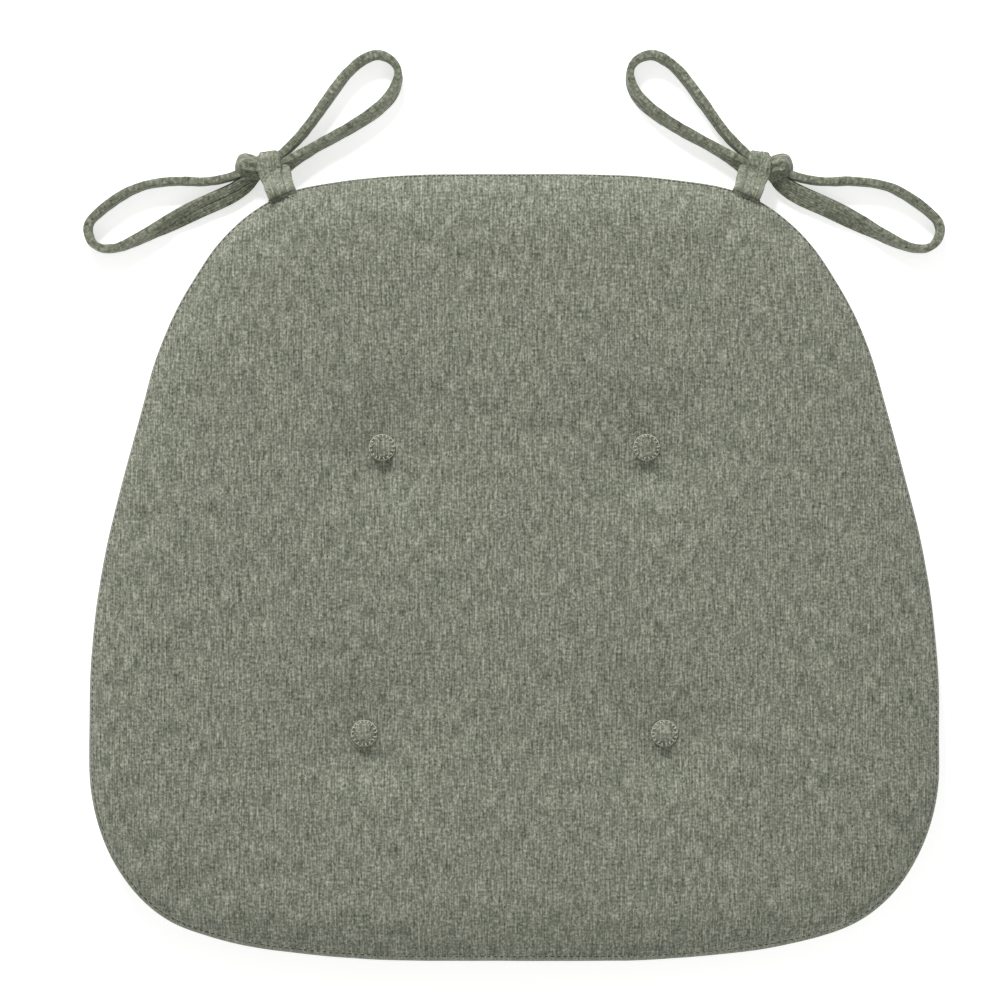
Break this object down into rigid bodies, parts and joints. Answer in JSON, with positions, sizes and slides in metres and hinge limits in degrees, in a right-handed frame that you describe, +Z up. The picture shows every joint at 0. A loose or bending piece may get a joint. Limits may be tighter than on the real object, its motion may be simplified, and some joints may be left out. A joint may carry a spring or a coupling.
{
  "type": "chair seat pad",
  "caption": "U-shaped chair seat pad: a boxed fabric cover over wadding and foam, tufted through with whip-stitched buttons, with a strap bow sewn in at each back corner.",
  "frame": {"origin": "on the underside, at the middle of the pad's width and of its depth", "axes": "+Z up, +Y towards the back edge with the ties, X across the width"},
  "size_m": [0.4382, 0.4609, 0.038],
  "materials": {
    "cover_fabric": "heathered grey-green woven upholstery cloth, matt",
    "tie_fabric": "the same cloth folded into a flat strap",
    "wadding": "white polyester wadding",
    "foam": "cream upholstery foam",
    "whip_thread": "pale sage stitching thread",
    "twine": "waxed tufting twine",
    "anchor_felt": "flat button covered in the cover cloth"
  },
  "bodies": {
    "pad": {"top_panel": "cover_fabric", "side_band": "cover_fabric", "bottom_panel": "cover_fabric", "wadding_layer": "wadding", "foam_core": "foam", "tuft_button_back_left": "cover_fabric", "tuft_button_back_right": "cover_fabric", "tuft_button_front_left": "cover_fabric", "tuft_button_front_right": "cover_fabric", "whip_stitches_back_left": "whip_thread", "whip_stitches_back_right": "whip_thread", "whip_stitches_front_left": "whip_thread", "whip_stitches_front_right": "whip_thread", "tufting_twine_back_left": "twine", "tufting_twine_back_right": "twine", "tufting_twine_front_left": "twine", "tufting_twine_front_right": "twine", "twine_anchor_back_left": "anchor_felt", "twine_anchor_back_right": "anchor_felt", "twine_anchor_front_left": "anchor_felt", "twine_anchor_front_right": "anchor_felt", "left_tie_seam_tab": "tie_fabric", "right_tie_seam_tab": "tie_fabric"},
    "left_tie": {"left_tie_front_leg": "tie_fabric", "left_tie_rear_leg": "tie_fabric", "left_tie_knot": "tie_fabric", "left_tie_outer_loop": "tie_fabric", "left_tie_inner_loop": "tie_fabric"},
    "right_tie": {"right_tie_front_leg": "tie_fabric", "right_tie_rear_leg": "tie_fabric", "right_tie_knot": "tie_fabric", "right_tie_outer_loop": "tie_fabric", "right_tie_inner_loop": "tie_fabric"}
  },
  "joints": [
    {"name": "left_tie_swing", "type": "hinge", "parent": "pad", "child": "left_tie", "pos_m": [-0.12013, 0.18991, 0.028], "axis": [0.9111, 0.4122, 0], "range_deg": [0, 140]},
    {"name": "right_tie_swing", "type": "hinge", "parent": "pad", "child": "right_tie", "pos_m": [0.12013, 0.18991, 0.028], "axis": [0.9111, -0.4122, 0], "range_deg": [0, 140]}
  ]
}
